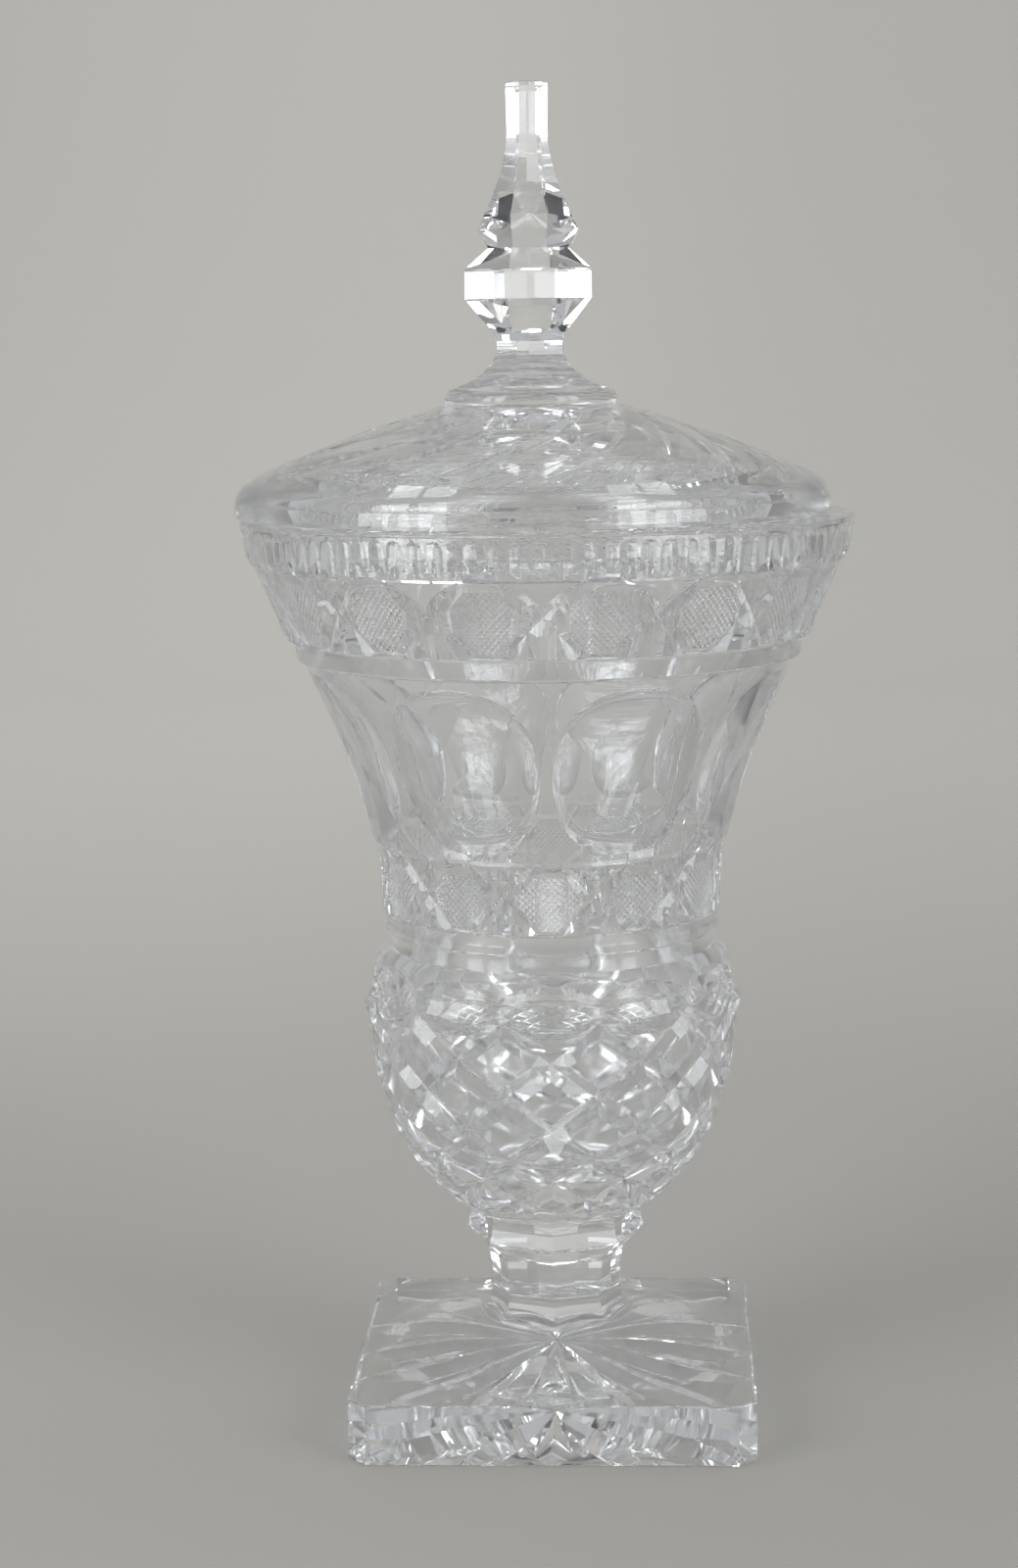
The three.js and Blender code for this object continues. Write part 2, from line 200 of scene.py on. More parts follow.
def spun(solid, angle):
    """The solid turned about the Z axis."""
    c, s = math.cos(math.radians(angle)), math.sin(math.radians(angle))
    return solid[0] @ np.array([[c, s, 0], [-s, c, 0], [0, 0, 1]]), solid[1]


def around(solid, count, turn=0.0):
    """Copies all round, as two solids whose copies don't touch each other."""
    return [join([spun(solid, turn + 360 * i / count) for i in range(first, count, 2)]) for first in (0, 1)]


def profile_place(outline, angle, radius=None, height=None):
    """Point and outward normal on a turned surface, at a height or at a radius."""
    steps = np.array([0, -0.4, 0.4])
    if height is not None:
        zs, rs = zip(*sorted((z, r) for r, z in outline))
        z = height + steps
        r = np.interp(z, zs, rs)
        flat, up = z[2] - z[1], r[1] - r[2]
    else:
        rs, zs = zip(*sorted(outline))
        r = radius + steps
        z = np.interp(r, rs, zs)
        flat, up = z[1] - z[2], r[2] - r[1]
    size = math.hypot(flat, up)
    out = front(angle)
    return out * r[0] + [0, 0, z[0]], (out * flat + [0, 0, up]) / size


def mitre(places, flank, other_flank=None):
    """V-shaped cutter along (spot, normal, depth) places. flank is the angle from the normal to its side."""
    slopes = math.tan(math.radians(flank)), math.tan(math.radians(other_flank or flank))
    rings = []
    for i, (spot, normal, depth) in enumerate(places):
        run = places[min(i + 1, len(places) - 1)][0] - places[max(i - 1, 0)][0]
        side = np.cross(run, normal)
        side /= np.linalg.norm(side)
        top = spot + normal * CLEAR
        reach = depth + CLEAR
        rings.append([spot - normal * depth, top + side * reach * slopes[0], top - side * reach * slopes[1]])
    return skin(rings)


# Cutting with solids


def to_object(name, solid, finish=POLISHED):
    """Object with the solid as its mesh, whose faces all have one finish."""
    mesh = bpy.data.meshes.new(name)
    mesh.from_pydata(solid[0].tolist(), [], solid[1])
    for _ in range(FINISHES):
        mesh.materials.append(None)
    mesh.polygons.foreach_set("material_index", [finish] * len(mesh.polygons))
    mesh.update()
    obj = bpy.data.objects.new(name, mesh)
    scene.collection.objects.link(obj)
    return obj


def carve(obj, solid, operation="DIFFERENCE", finish=POLISHED):
    """Boolean with a solid, which gives its finish to the faces that it leaves."""
    tool = to_object("tool", solid, finish)
    modifier = obj.modifiers.new("carve", "BOOLEAN")
    modifier.operation, modifier.solver, modifier.object = operation, "MANIFOLD", tool
    graph = bpy.context.evaluated_depsgraph_get()
    made = bpy.data.meshes.new_from_object(obj.evaluated_get(graph))
    obj.modifiers.clear()
    old, obj.data = obj.data, made
    bpy.data.meshes.remove(old)
    bpy.data.meshes.remove(tool.data)


def solid_of(obj):
    """The object's mesh as a solid. The object is removed with its mesh."""
    mesh = obj.data
    corners = np.array([v.co for v in mesh.vertices], float)
    faces = [tuple(p.vertices) for p in mesh.polygons]
    bpy.data.meshes.remove(mesh)
    return corners, faces


# Outlines of the bowl, radius and height from the foot of the bulb up

bulb_curve = spline(
    [
        (bulb_radius, shoulder_foot),
        (0.958 * bulb_radius, 122.0),
        (0.88 * bulb_radius, 100.85),
        (0.7 * bulb_radius, 80.4),
        (bulb_foot_radius, bulb_foot),
    ],
    96,
)
shoulder_curve = bezier((bulb_radius, shoulder_foot), (62.2, 150.5), (53.4, neck_foot), 14)
body_curve = bezier((58, body_foot + 0.3), (65, 221.4), (79.8, ring_foot - 0.3), 40)
lower_band = [(55.2, 168.9), (56.6, 190.6)]
upper_band = [(84.8, 258.0), (94.7, 281.6)]
rim_line = [(97.2, 284.9), (98.85, 295.2)]
bowl_outline = (
    bulb_curve[::-1]
    + shoulder_curve[1:]
    + [(53.4, 161.4), (54.3, 161.9), (54.7, 162.5), (54.7, 167.8), (54.3, 168.4)]
    + lower_band
    + [(57.6, 191.7)]
    + body_curve
    + [(81.1, 251.1), (81.4, 251.6), (82.2, 256.9), (82.5, 257.4)]
    + upper_band
    + [(95.7, 282.3), (96.7, 284.4)]
    + rim_line
    + [(98.5, 295.8), (98.05, 296)]
)


def hollow():
    """Inside of the bowl, up to a cap over the rim."""
    bulb_hollow = bulb_radius - bulb_wall
    curve = spline(
        [
            (0.45 * bulb_hollow, hollow_foot + 1.5),
            (0.76 * bulb_hollow, hollow_foot + 12),
            (0.93 * bulb_hollow, hollow_foot + 30),
            (bulb_hollow, 139),
            (45.8, neck_foot),
            (46.6, 180.3),
            (49.4, body_foot),
            (58.1, 221.4),
            (72.4, ring_foot),
            (81.2, 270.2),
            (rim_inner_radius, rim_foot),
        ],
        120,
    )
    floor = bezier((0, hollow_foot), (0.3 * bulb_hollow, hollow_foot), curve[0], 6)
    rim = [(rim_inner_radius, 295.2), (rim_inner_radius + 0.8, 296), (90.6, 297.3), (0, 297.3)]
    return lathe(floor + curve[1:] + rim)


def rim_notches():
    """Notches round the rim, which run out below its top edge."""
    count, flank = 96, 69
    # the rim's line, carried on below it
    line = [tuple(2 * np.array(rim_line[0]) - rim_line[1]), rim_line[1]]
    steps = [(294.2, -0.05), (293.8, 0.55), (293.1, 0.9), (292, 1.05), (284.3, 1.15), (282.6, 1.15)]
    places = [(*profile_place(line, 0, height=z), depth) for z, depth in steps]
    return around(mitre(places, flank), count)


def ovals():
    """Oval dishes round the body, whose deepest place is low down."""
    count, half_width, half_height, depth = 8, 24, 27, 4.0
    middle, bend_radius, squareness = 221.5, 66, 0.035
    spot, normal = profile_place(bowl_outline, 0, height=middle)
    rise = np.cross(normal, [1, 0, 0])
    rings = []
    for size in (1.07, 1.0, 0.97, 0.92, 0.86, 0.78, 0.68, 0.56, 0.42, 0.26, 0.1):
        lift = CLEAR + 0.1 if size > 1 else -depth * (1 - size**2.2) ** 0.85
        drop = -0.1 * (1 - min(size, 1) ** 2)
        loop = []
        for i in range(72):
            a = math.radians(5 * i)
            x, y = math.cos(a), math.sin(a)
            square = 1 + squareness * math.sin(2 * a) ** 2
            bend = (x * size * half_width * square) ** 2 / (2 * bend_radius)
            loop.append(
                spot
                + normal * (lift - bend)
                + rise * half_height * (size * square * y + drop)
                + np.array([half_width * size * square * x, 0, 0])
            )
        rings.append(loop)
    return around(skin(rings), count, 180 / count)


def lobes():
    """Scoops round the shoulder, each cut by an ellipsoid."""
    count, half_width, half_depth, half_height = 12, 22.2, 9, 10.4
    depth, above_shoulder = 7, 6
    rows, columns = 24, 48
    rings = []
    for i in range(rows + 1):
        t = math.pi * i / rows
        y, w = -math.cos(t), math.sin(t)
        if w < 1e-6:
            rings.append([(0, y, 0)])
        else:
            turns = np.linspace(0, 2 * math.pi, columns, False)
            rings.append([(w * math.cos(a), y, w * math.sin(a)) for a in turns])
    corners, faces = skin(rings)
    middle = [0, depth - half_depth - bulb_radius, shoulder_foot + above_shoulder]
    return around((corners * [half_width, half_depth, half_height] + middle, faces), count)


def diamonds():
    """Mitres that wind down the bulb both ways and cross each other."""
    count, depth, flank = 12, 2.9, 54
    first_angle, slope = -2.4, 1.25
    run_out_foot, run_out_height = 69.5, 5
    sets = []
    for way in (-1, 1):
        angle, places = first_angle, []
        points = [(bulb_radius - 0.2, shoulder_foot + 2.0)] + bulb_curve[:-2]
        for i, (r, z) in enumerate(points):
            if i:
                angle += math.degrees(slope * math.hypot(r - points[i - 1][0], z - points[i - 1][1]) / r)
            run_out = min(1.0, (z - run_out_foot) / run_out_height)
            places.append((*profile_place(bowl_outline, way * angle, height=z), depth * run_out - 0.1))
        sets += around(mitre(places, flank), count, 180 / count)
    return sets


def hatching(panel):
    """Cutter of a flat cross-hatched panel, whose lower side is a carpet of small pyramids. Its corners are
    (x, z, height over the glass)."""
    pitch, depth, peak_depth = 1.5, 0.45, 0.03
    bottom, top = -2, 1.8
    xs, zs = zip(*panel)
    middle = (min(zs) + max(zs)) / 2
    n = 2 * math.ceil(0.55 * math.hypot(max(xs) - min(xs), max(zs) - min(zs)) / pitch)
    cell = math.sqrt(0.5) * pitch

    def spot(i, j, w):
        """Place in the grid, which is turned by 45 degrees."""
        s, t = i - n / 2, j - n / 2
        return (s - t) * cell, middle + (s + t) * cell, w

    def index(i, j):
        return i * (n + 1) + j

    corners = [spot(i, j, -depth) for i in range(n + 1) for j in range(n + 1)]
    faces = []
    for i in range(n):
        for j in range(n):
            peak = len(corners)
            corners.append(spot(i + 0.5, j + 0.5, -peak_depth))
            loop = [index(i, j), index(i + 1, j), index(i + 1, j + 1), index(i, j + 1)]
            faces += [(loop[k], loop[(k + 1) % 4], peak) for k in range(4)]
    edge = (
        [index(i, 0) for i in range(n)]
        + [index(n, j) for j in range(n)]
        + [index(i, n) for i in range(n, 0, -1)]
        + [index(0, j) for j in range(n, 0, -1)]
    )
    upper, m = len(corners), len(edge)
    corners += [(corners[i][0], corners[i][1], top + 1) for i in edge]
    faces += [(edge[k], upper + k, upper + (k + 1) % m, edge[(k + 1) % m]) for k in range(m)]
    faces.append(tuple(upper + k for k in reversed(range(m))))
    carpet = to_object("carpet", outward(corners, faces))
    carve(carpet, skin([[(x, z, w) for x, z in panel] for w in (bottom, top)]), "INTERSECT")
    return solid_of(carpet)


def band_tools(band, radius, count, panel, lines, first):
    """Cutters of a band's mitres, and those of its cross-hatched panels. In panel and lines, x runs round the
    band at the radius and z is height. lines are (start, end, depths, flank, other flank), and first is the
    angle of the first panel."""

    def place(x, z):
        return profile_place(band, math.degrees(x / radius), height=z)

    mitres = []
    for start, end, depths, flank, other in lines:
        n = len(depths) - 1
        steps = [np.array(start) + (np.array(end) - start) * i / n for i in range(n + 1)]
        places = [(*place(*step), depth) for step, depth in zip(steps, depths)]
        mitres += around(mitre(places, flank, other), count, first)
    flat, faces = hatching(panel)
    wrapped = []
    for x, z, w in flat:
        spot, normal = place(x, z)
        wrapped.append(spot + normal * w)
    return mitres, around(outward(wrapped, faces), count, first)


def both_sides(points):
    """Outline of a panel. The points are its half at +x, from low to high."""
    return points[1:] + [(-x, z) for x, z in reversed(points)] + points[:1]


def mirror_lines(lines):
    """Each line and its mirror image in x."""
    out = []
    for start, end, depths, flank, other in lines:
        out.append((start, end, depths, flank, other))
        out.append(((-start[0], start[1]), (-end[0], end[1]), depths, other, flank))
    return out


def upper_band_tools():
    """Sixteen panels. Two mitres cross in the gap between each two, with an upright one at both sides."""
    count, radius = 16, 89.8
    gap = math.radians(180 / count) * radius
    panel = both_sides([(3.4, 259.7), (9.8, 266.3), (9.8, 273.7), (4.9, 278.7)])
    cross = [((gap - 11.8, 281.8), (gap + 11.6, 258.4), [0.1, 1.2, 1.7, 1.7, 1.7, 1.7, 1.7, 1.5, 1.2], 60, 60)]
    upright = [((gap - 4.4, 257.5), (gap - 4.4, 274.6), [1.9, 1.9, 1.9, 1.9, 1.6, 0.6], 60, 56)]
    level = [
        ((-4.6, 282.2), (4.6, 282.2), [1.9] * 5, 12, 60),
        ((-6, 258.3), (6, 258.3), [0.9] * 5, 12, 55),
    ]
    lines = mirror_lines(cross + upright) + level
    return band_tools([(84.35, 257), (95.0, 282.3)], radius, count, panel, lines, 180 / count - 0.05)


def lower_band_tools():
    """Twelve panels, with the same mitres between them, one panel at the front."""
    count, radius = 12, 56
    gap = math.radians(180 / count) * radius
    panel = both_sides([(4.2, 169.9), (9.7, 178.4), (9.7, 181.4), (4.7, 187.2)])
    cross = [((gap - 10, 190), (gap + 10.6, 169.4), [0.1, 1.1, 1.5, 1.5, 1.5, 1.5, 1.5, 1.3, 1.0], 60, 60)]
    upright = [((gap - 3.7, 168.4), (gap - 3.7, 190.4), [1.1, 1.1, 1.1, 1.1, 1.0, 0.2], 58, 58)]
    level = [
        ((-4.4, 190.3), (4.4, 190.3), [1.6] * 4, 12, 60),
        ((-5, 169.0), (5, 169.0), [0.7] * 4, 12, 50),
    ]
    lines = mirror_lines(cross + upright) + level
    return band_tools([(55.15, 168), (56.6, 190.6)], radius, count, panel, lines, 0)


# Pieces


def octagon(corner_radius):
    """Outline of an eight-sided level with a corner to the front, as a radius by angle."""
    flat = corner_radius * math.cos(math.pi / 8)
    return lambda angle: flat / math.cos(math.radians(angle % 45 - 22.5))


def star_ray(out, start, reach, depth):
    """Mitre in the underside of the foot, deepest a little past its middle. It runs out to a tip."""
    steps = 18
    down = np.array([0, 0, -1.0])
    places = []
    for k in range(steps + 1):
        share = math.sin(math.pi / 2 * k / steps)
        rise = 0.72 + 0.28 * math.sin(math.pi / 2 * min(1, share / 0.6))
        fall = math.sqrt(1.0001 - (max(0, share - 0.55) / 0.45) ** 2)
        places.append((out * (start + (reach - start) * share), down, depth * rise * fall))
    return mitre(places, star_flank)


def make_foot():
    half, edge = foot_side / 2, foot_edge

    def plate_ring(inset, z):
        """Square with cut corners, drawn in evenly."""
        corner_share = 0.41
        a, b = half - inset, half - foot_corner - inset * corner_share
        loop = [(a, -b), (a, b), (b, a), (-b, a), (-a, b), (-a, -b), (-b, -a), (b, -a)]
        return [(x, y, z) for x, y in loop]

    levels = [(edge, 0), (0, edge), (0, foot_thickness - edge), (edge, foot_thickness)]
    foot = to_object("cut_foot", skin([plate_ring(inset, z) for inset, z in levels]))
    dome = spline(
        [
            (foot_dome_reach, foot_thickness),
            (60, 20.1),
            (54, 21.6),
            (46, 24.3),
            (38, 26.9),
            (31, 29.1),
            (foot_dome_radius, foot_dome_top),
        ],
        60,
    )
    neck_radius, neck_top = stem_levels[0]
    neck_bend = (neck_radius + 0.9, foot_dome_top + 1.2)
    neck = bezier((foot_dome_radius, foot_dome_top), neck_bend, stem_levels[0], 12)
    stem_outline = octagon(neck_radius)

    def neck_ring(r, z):
        """Round at the foot of the neck, eight-sided under the stem."""
        share = (z - foot_dome_top) / (neck_top - foot_dome_top)
        share = share * share * (3 - 2 * share)
        return ring(lambda angle: r * ((1 - share) + share * stem_outline(angle) / neck_radius), z)

    # the dome starts inside the plate, so that the two overlap
    rings = [ring(foot_dome_reach, 10)] + [ring(r, z) for r, z in dome] + [neck_ring(r, z) for r, z in neck[1:]]
    carve(foot, skin(rings), "UNION")
    for i in range(star_rays):
        out = front(360 / star_rays * i)
        reach = min((half - star_margin) / max(abs(out[0]), abs(out[1])), star_corner_reach)
        carve(foot, star_ray(out, star_start, reach, star_depth), finish=CUT)
    for i in range(star_rays):
        out = front(360 / star_rays * (i + 0.5))
        carve(foot, star_ray(out, minor_ray_start, minor_ray_reach, minor_ray_depth), finish=CUT)
    return foot


def make_stem():
    """Eight-sided levels. The facets between two of them are slightly hollow."""
    steps = 6
    rings = []
    for (ra, za), (rb, zb) in zip(stem_levels, stem_levels[1:]):
        for k in range(steps):
            t = k / steps
            sag = -stem_sag * math.sin(math.pi * t)
            rings.append(ring(ra + (rb - ra) * t + sag, za + (zb - za) * t, 8))
    rings.append(ring(*stem_levels[-1], 8))
    return to_object("cut_stem", skin(rings))


def make_bowl():
    rings = [ring(octagon(stem_levels[-1][0]), bulb_foot)] + [ring(r, z) for r, z in bowl_outline]
    bowl = to_object("cut_bowl", skin(rings))
    carve(bowl, hollow(), finish=INSIDE)
    for tool in ovals() + lobes():
        carve(bowl, tool)
    upper_mitres, upper_panels = upper_band_tools()
    lower_mitres, lower_panels = lower_band_tools()
    for tool in diamonds() + upper_mitres + lower_mitres + rim_notches():
        carve(bowl, tool, finish=CUT)
    for tool in upper_panels + lower_panels:
        carve(bowl, tool, finish=HATCH)
    bowl.data.transform(Matrix.Rotation(math.radians(bowl_turn), 4, "Z"))
    return bowl


def leaf_tools(dome):
    """Leaf cuts that swirl over the dome, and the fine lines between each two."""
    count, first = 16, -21
    start, end, swirl, depth, flank = 34, 87, 46, 0.95, 73
    lines = [(5, 80), (9.5, 72), (14, 64), (18.5, 70)]
    line_end, line_slope, line_depth, line_flank = 90, 0.85, 0.2, 60
    places = []
    for k in range(31):
        s = k / 30 * 1.02
        rise = min(1, s / 0.12) ** 0.5
        belly = 0.7 + 0.3 * math.sin(math.pi * min(1, s / 1.1))
        fall = min(1.0, (1.01 - s) / 0.24)
        where = profile_place(dome, swirl * (1 - s), radius=start + s * (end - start))
        places.append((*where, depth * rise * belly * fall - 0.05))
    tools = around(mitre(places, flank), count, first)
    for offset, line_start in lines:
        places = []
        for k in range(9):
            s = k / 8
            r = line_start + s * (line_end - line_start)
            where = profile_place(dome, offset - line_slope * (r - end), radius=r)
            places.append((*where, line_depth * math.sin(math.pi * (0.04 + 0.92 * s)) ** 0.7 - 0.02))
        tools += around(mitre(places, line_flank), count, first)
    return tools


def make_lid():
    dome = spline(
        [(29.6, lid_top), (55.1, 322.95), (78.6, 313.8), (91.7, 307.66), (lid_radius - 0.3, 302.1)],
        60,
    )
    flange = rim_inner_radius - abs(lid_shift) - flange_clearance
    inner = flange - flange_thickness
    inner_top = lid_top - lid_thickness
    inside = bezier((inner - 0.5, 302.2), (0.62 * inner, inner_top - 3.2), (0, inner_top), 36)
    profile = (
        [(lid_flat_radius, lid_top)]
        + dome
        + [(lid_radius, 300.5), (lid_radius, 298.2), (lid_radius - 0.5, 297.0), (lid_radius - 1.4, lid_seat)]
        + [(flange + 0.5, lid_seat), (flange, lid_seat - 0.5)]
        + [(flange - 0.3, flange_foot + 0.9), (flange - 1.1, flange_foot)]
        + [(inner + 0.9, flange_foot), (inner, flange_foot + 0.9)]
        + inside
    )
    lid = to_object("cut_lid", lathe(profile))
    for tool in leaf_tools(dome):
        carve(lid, tool, finish=CUT)
    return lid


def make_finial():
    """Six-sided spire, knop and neck, made round at the collar by a turned limit."""

    def six(apothem, z):
        return ring(apothem / math.cos(math.pi / 6), z, 6)

    collar = bezier((lid_flat_radius, 335.8), (13, 339.1), (10.4, 348.8), 48)
    spire = bezier((15.9, 386.4), (6.2, 405.7), (6.4, 417.7), 40)
    faces = (
        [(lid_flat_radius, lid_top)]
        + collar
        + [(10.4, 351.4), (11.2, 353.0), (11.6, 354.2), (20, 364.8), (20, 374), (12.6, 380.6)]
        + spire
        + [(6.65, 430.9), (6.3, 431.9), (5.6, 432.35)]
    )
    finial = to_object("cut_finial", skin([six(r, z) for r, z in faces] + [[(0, 0, spire_top)]]))
    limit = bezier((collar_radius, lid_top), (28.5, 333.6), (26.4, 336), 10) + [(26.2, 336.6), (26.2, 434)]
    carve(finial, skin([ring(r, z) for r, z in limit]), "INTERSECT")
    return finial


# Materials


def crystal_material(name, clear, smear_low, smear_high, silt=0.0):
    """Lead glass. clear is its clear share, the rest is milky; smear_low and smear_high are how matt it gets
    between and on the wipe marks, and silt is the extra matt tone of water lime low down in the bulb."""
    material = bpy.data.materials.new(name)
    material.use_nodes = True
    nodes, links = material.node_tree.nodes, material.node_tree.links
    shader = nodes["Principled BSDF"]
    shader.inputs["Base Color"].default_value = (0.965, 0.97, 0.975, 1)
    shader.inputs["IOR"].default_value = 1.545
    shader.inputs["Transmission Weight"].default_value = clear
    place = nodes.new("ShaderNodeTexCoord")
    # faint wipe marks in the polish
    smear = nodes.new("ShaderNodeTexNoise")
    smear.inputs["Scale"].default_value = 34
    smear.inputs["Detail"].default_value = 5
    smear.inputs["Distortion"].default_value = 0.8
    spread = nodes.new("ShaderNodeMapRange")
    spread.inputs["From Min"].default_value = 0.45
    spread.inputs["From Max"].default_value = 0.8
    spread.inputs["To Min"].default_value = smear_low
    spread.inputs["To Max"].default_value = smear_high
    links.new(place.outputs["Object"], smear.inputs["Vector"])
    links.new(smear.outputs["Fac"], spread.inputs["Value"])
    matt = spread.outputs["Result"]
    if silt:
        # water lime, fading out between 0.15 and 0.19 m above the ground
        split = nodes.new("ShaderNodeSeparateXYZ")
        low = nodes.new("ShaderNodeMapRange")
        low.interpolation_type = "SMOOTHSTEP"
        low.inputs["From Min"].default_value = 0.19
        low.inputs["From Max"].default_value = 0.15
        low.inputs["To Max"].default_value = silt
        total = nodes.new("ShaderNodeMath")
        links.new(place.outputs["Object"], split.inputs[0])
        links.new(split.outputs["Z"], low.inputs["Value"])
        links.new(matt, total.inputs[0])
        links.new(low.outputs["Result"], total.inputs[1])
        matt = total.outputs[0]
    links.new(matt, shader.inputs["Roughness"])
    # slow waves that hand polishing leaves
    wave = nodes.new("ShaderNodeTexNoise")
    wave.inputs["Scale"].default_value = 60
    wave.inputs["Detail"].default_value = 1
    bump = nodes.new("ShaderNodeBump")
    bump.inputs["Strength"].default_value = 0.03
    bump.inputs["Distance"].default_value = 0.0006
    links.new(place.outputs["Object"], wave.inputs["Vector"])
    links.new(wave.outputs["Fac"], bump.inputs["Height"])
    links.new(bump.outputs["Normal"], shader.inputs["Normal"])
    # clear glass casts only a faint shadow
    path = nodes.new("ShaderNodeLightPath")
    faint = nodes.new("ShaderNodeBsdfTransparent")
    faint.inputs["Color"].default_value = (0.6, 0.605, 0.615, 1)
    mix = nodes.new("ShaderNodeMixShader")
    links.new(path.outputs["Is Shadow Ray"], mix.inputs["Fac"])
    links.new(shader.outputs[0], mix.inputs[1])
    links.new(faint.outputs[0], mix.inputs[2])
    links.new(mix.outputs[0], nodes["Material Output"].inputs["Surface"])
    return material


def bond_material():
    """Clear bond where two pieces meet face to face, so that light goes straight from one into the other."""
    material = bpy.data.materials.new("bond")
    material.use_nodes = True
    nodes, links = material.node_tree.nodes, material.node_tree.links
    nodes.remove(nodes["Principled BSDF"])
    clear = nodes.new("ShaderNodeBsdfTransparent")
    links.new(clear.outputs[0], nodes["Material Output"].inputs["Surface"])
    return material


def paper_material(name, tint, tones_with_painted_light, painted_side_shade):
    """Matt paper, with painted light and shade in its colour. The depth tones are (depth, level): how light its
    colour is from the front of the floor back to the backdrop, which paints the fall of the studio's light on
    it; the side tones are two (place, level) pairs from the left to the right, which paint shade that darkens
    it towards the right."""
    material = bpy.data.materials.new(name)
    material.use_nodes = True
    nodes, links = material.node_tree.nodes, material.node_tree.links
    shader = nodes["Principled BSDF"]
    shader.inputs["Roughness"].default_value = 0.9
    shader.inputs["Specular IOR Level"].default_value = 0.15
    where = nodes.new("ShaderNodeNewGeometry")
    split = nodes.new("ShaderNodeSeparateXYZ")
    # Painted light and shade: a colour ramp along the depth stands in for the fall of the studio's light on the
    # paper.
    back = nodes.new("ShaderNodeMapRange")
    back.inputs["From Min"].default_value = tones_with_painted_light[0][0]
    back.inputs["From Max"].default_value = tones_with_painted_light[-1][0]
    ramp = nodes.new("ShaderNodeValToRGB")
    ramp.color_ramp.interpolation = "B_SPLINE"
    stops = ramp.color_ramp.elements
    for depth, level in tones_with_painted_light[1:-1]:
        stops.new((depth - tones_with_painted_light[0][0]) / (tones_with_painted_light[-1][0] - tones_with_painted_light[0][0]))
    for stop, (depth, level) in zip(stops, tones_with_painted_light):
        stop.color = (*(level * channel for channel in tint), 1)
    # Painted shade: the paper's colour is scaled darker from the left to the right.
    across = nodes.new("ShaderNodeMapRange")
    across.interpolation_type = "SMOOTHSTEP"
    (left, left_level), (right, right_level) = painted_side_shade
    across.inputs["From Min"].default_value = left
    across.inputs["From Max"].default_value = right
    across.inputs["To Min"].default_value = left_level
    across.inputs["To Max"].default_value = right_level
    tone = nodes.new("ShaderNodeVectorMath")
    tone.operation = "SCALE"
    links.new(where.outputs["Position"], split.inputs[0])
    links.new(split.outputs["X"], across.inputs["Value"])
    links.new(split.outputs["Y"], back.inputs["Value"])
    links.new(back.outputs["Result"], ramp.inputs["Fac"])
    links.new(ramp.outputs["Color"], tone.inputs[0])
    links.new(across.outputs["Result"], tone.inputs["Scale"])
    links.new(tone.outputs[0], shader.inputs["Base Color"])
    return material


finishes = [
    crystal_material("crystal_polished", clear=0.985, smear_low=0.0, smear_high=0.02),
    crystal_material("crystal_cut", clear=0.955, smear_low=0.0, smear_high=0.03),
    crystal_material("crystal_hatched", clear=0.92, smear_low=0.08, smear_high=0.14),
    crystal_material("crystal_inside", clear=0.98, smear_low=0.0, smear_high=0.03, silt=0.08),
    bond_material(),
]


def finish_piece(obj, node, body, bonds):
    """Smooths what is round, keeps cut edges crisp, gives the materials and sets the piece on its body.
    bonds are (height, outline radius by angle) of the faces that meet the next piece."""
    crease = math.radians(17)
    mesh = obj.data
    mesh.transform(Matrix.Scale(0.001, 4))
    for i, material in enumerate(finishes):
        mesh.materials[i] = material
    for polygon in mesh.polygons:
        polygon.use_smooth = True
        centre = polygon.center * 1000
        for height, outline in bonds:
            if abs(centre.z - height) < 0.02 and abs(polygon.normal.z) > 0.99:
                angle = math.degrees(math.atan2(centre.x, -centre.y))
                if math.hypot(centre.x, centre.y) < outline(angle) - 0.01:
                    polygon.material_index = BOND
    mesh.set_sharp_from_angle(angle=crease)
    mesh.update()
    if body == "cover":
        mesh.transform(Matrix.Translation((lid_shift / 1000, 0, 0)))
    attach(obj, body)
    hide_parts(node)


neck_joint = (stem_levels[0][1], octagon(stem_levels[0][0]))
stem_head = octagon(stem_levels[-1][0])
collar_joint = (lid_top, lambda angle: collar_radius)
finish_piece(make_foot(), "foot", "vessel", [neck_joint])
finish_piece(make_stem(), "stem", "vessel", [neck_joint, (bulb_foot, stem_head)])
finish_piece(make_bowl(), "bowl", "vessel", [(bulb_foot, lambda angle: stem_head(angle - bowl_turn))])
finish_piece(make_lid(), "lid", "cover", [collar_joint])
finish_piece(make_finial(), "finial", "cover", [collar_joint])


# Camera: the photograph's place and lens. Angles in radians, the photograph's measures in pixels.

camera_place = (0.0308, -0.9627, 0.3539)
heading, pitch, roll = -0.0459, 0.15, -0.0146
focal_length, photo_height, sensor = 3041, 1600, 36
across = Vector((math.cos(heading), -math.sin(heading), 0))
level = Vector((math.sin(heading), math.cos(heading), 0))
ahead = level * math.cos(pitch) - Vector((0, 0, math.sin(pitch)))
above = level * math.sin(pitch) + Vector((0, 0, math.cos(pitch)))
right = across * math.cos(roll) + above * math.sin(roll)
upward = above * math.cos(roll) - across * math.sin(roll)
lens = bpy.data.cameras.new("camera")
lens.lens = sensor * focal_length / photo_height
lens.clip_start, lens.clip_end = 0.05, 20
camera = bpy.data.objects.new("camera", lens)
camera.matrix_world = Matrix([*zip(right, upward, -ahead, camera_place), (0, 0, 0, 1)])
scene.collection.objects.link(camera)
scene.camera = camera

# Studio: a paper sweep, a pair of tall softboxes on either side of the camera, a lamp on the backdrop, and
# the room around. Lengths in metres.

daylight = (0.95, 0.975, 1.0)


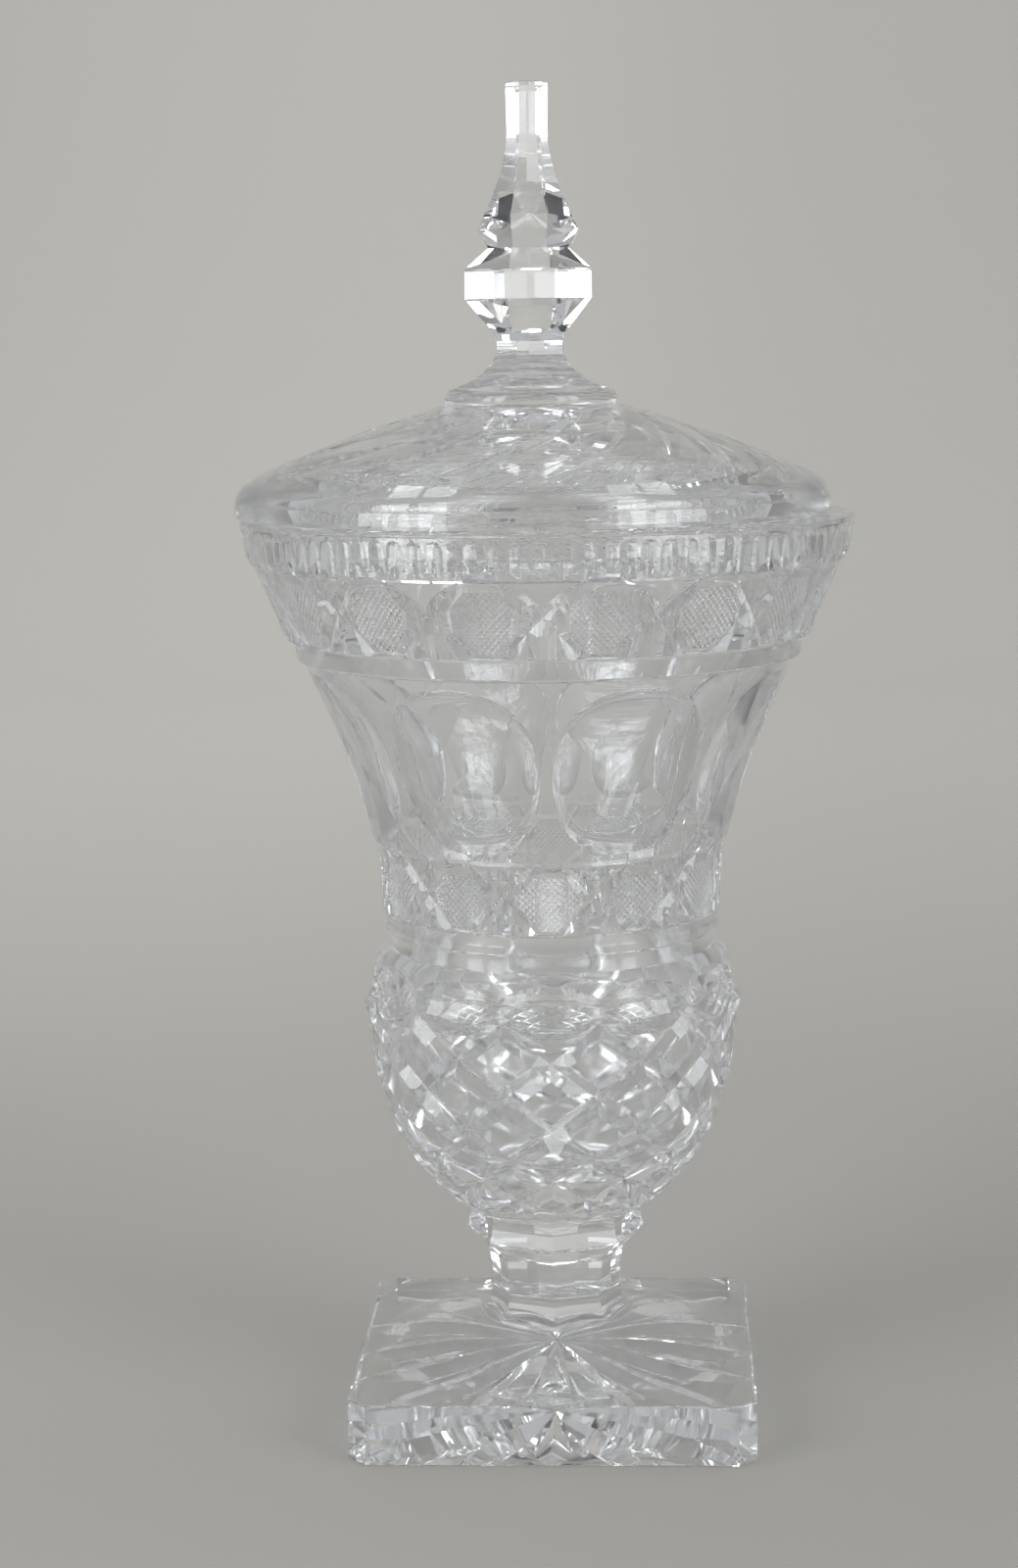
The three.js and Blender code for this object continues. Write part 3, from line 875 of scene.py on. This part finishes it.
def sweep():
    """Floor that curves up into the backdrop."""
    start, bend, height, half = 2.0, 1.2, 3.2, 4.5
    line = [(-5.0, 0.0), (-1.0, 0.0), (0.0, 0.0), (start, 0.0)]
    turns = np.linspace(0.05, math.pi / 2, 32)
    line += [(start + bend * math.sin(a), bend - bend * math.cos(a)) for a in turns]
    line.append((start + bend, height))
    corners = [(x, y, z - contact_gap) for y, z in line for x in (-half, half)]
    faces = [(2 * i, 2 * i + 1, 2 * i + 3, 2 * i + 2) for i in range(len(line) - 1)]
    mesh = bpy.data.meshes.new("sweep")
    mesh.from_pydata(corners, [], faces)
    for polygon in mesh.polygons:
        polygon.use_smooth = True
    # Painted light and shade in the paper's colour: darkest just in front of the object, lighter towards the
    # front of the floor and up the backdrop, and painted darker towards the right.
    tones_with_painted_light = [(-3.2, 0.97), (-1.8, 0.8), (-0.9, 0.56), (-0.15, 0.488), (0, 0.53), (0.15, 0.555)]
    tones_with_painted_light += [(0.43, 0.622), (0.65, 0.69), (1.0, 0.75), (1.7, 0.72), (2.5, 0.67), (3.2, 0.63)]
    mesh.materials.append(paper_material("paper", (1, 0.962, 0.896), tones_with_painted_light, [(-0.3, 1.0), (0.3, 0.91)]))
    obj = bpy.data.objects.new("sweep", mesh)
    scene.collection.objects.link(obj)


def softbox(name, place, target, width, height, power):
    """Lamp at a place, turned to a target. It isn't seen directly."""
    place, target = Vector(place), Vector(target)
    light = bpy.data.lights.new(name, "AREA")
    light.shape, light.size, light.size_y, light.energy = "RECTANGLE", width, height, power
    light.color = daylight
    obj = bpy.data.objects.new(name, light)
    obj.location = place
    obj.rotation_mode = "QUATERNION"
    obj.rotation_quaternion = (place - target).to_track_quat("Z", "Y")
    obj.visible_camera = False
    scene.collection.objects.link(obj)


def front_softbox(name, azimuth, power):
    """Tall softbox aimed at the middle of the object; azimuth in degrees from the front towards +X."""
    elevation, distance, width, height = 17.5, 1.5, 0.34, 1.3
    target = Vector((0, 0, 0.22))
    a, e = math.radians(azimuth), math.radians(elevation)
    place = target + distance * Vector((math.sin(a) * math.cos(e), -math.cos(a) * math.cos(e), math.sin(e)))
    softbox(name, place, target, width, height, power)


def room():
    """World: an even pale room, dark only behind the camera. Seen directly it is as the paper."""
    room_strength, darkening, paper_colour = 0.467, 0.445, (0.479, 0.472, 0.445, 1)
    world = bpy.data.worlds.new("studio")
    scene.world = world
    world.use_nodes = True
    nodes, links = world.node_tree.nodes, world.node_tree.links

    def number(operation, *values):
        node = nodes.new("ShaderNodeMath")
        node.operation = operation
        for socket, value in zip(node.inputs, values):
            if isinstance(value, (int, float)):
                socket.default_value = value
            else:
                links.new(value, socket)
        return node.outputs[0]

    def ramp(value, start, end):
        node = nodes.new("ShaderNodeMapRange")
        node.interpolation_type = "SMOOTHSTEP"
        links.new(value, node.inputs["Value"])
        node.inputs["From Min"].default_value = start
        node.inputs["From Max"].default_value = end
        return node.outputs["Result"]

    direction = nodes.new("ShaderNodeTexCoord").outputs["Generated"]
    split = nodes.new("ShaderNodeSeparateXYZ")
    links.new(direction, split.inputs[0])
    x, y, z = split.outputs
    side = number("ABSOLUTE", number("ARCTAN2", x, number("MULTIPLY", y, -1)))
    dark_across = ramp(side, 0.5, 0.42)
    dark_upright = number("MULTIPLY", ramp(z, -0.12, -0.04), ramp(z, 0.8, 0.7))
    dark = number("MULTIPLY", dark_across, dark_upright)
    strength = number("SUBTRACT", room_strength, number("MULTIPLY", dark, darkening))
    light = nodes["Background"]
    light.inputs["Color"].default_value = (*daylight, 1)
    links.new(strength, light.inputs["Strength"])
    seen = nodes.new("ShaderNodeBackground")
    seen.inputs["Color"].default_value = paper_colour
    mix = nodes.new("ShaderNodeMixShader")
    links.new(nodes.new("ShaderNodeLightPath").outputs["Is Camera Ray"], mix.inputs["Fac"])
    links.new(light.outputs[0], mix.inputs[1])
    links.new(seen.outputs[0], mix.inputs[2])
    links.new(mix.outputs[0], nodes["World Output"].inputs["Surface"])


sweep()
# The lamps stand evenly about the camera's azimuth, in degrees
camera_azimuth, lamp_power = 1.8, 5.6
for side, share in ((-1, 1.1), (1, 0.9)):
    for azimuth in (43, 60):
        front_softbox(f"softbox_{side * azimuth}", camera_azimuth + side * azimuth, lamp_power * share)
softbox("backdrop_light", place=(0, 1.6, 1.9), target=(0, 3.0, 0.7), width=3.0, height=0.5, power=18)
room()

# Light passes many walls and facets of glass
bounces = 64
scene.view_settings.view_transform = "Standard"
scene.cycles.max_bounces = bounces
scene.cycles.transmission_bounces = bounces
scene.cycles.glossy_bounces = bounces
scene.cycles.transparent_max_bounces = 12
scene.cycles.sample_clamp_indirect = 8
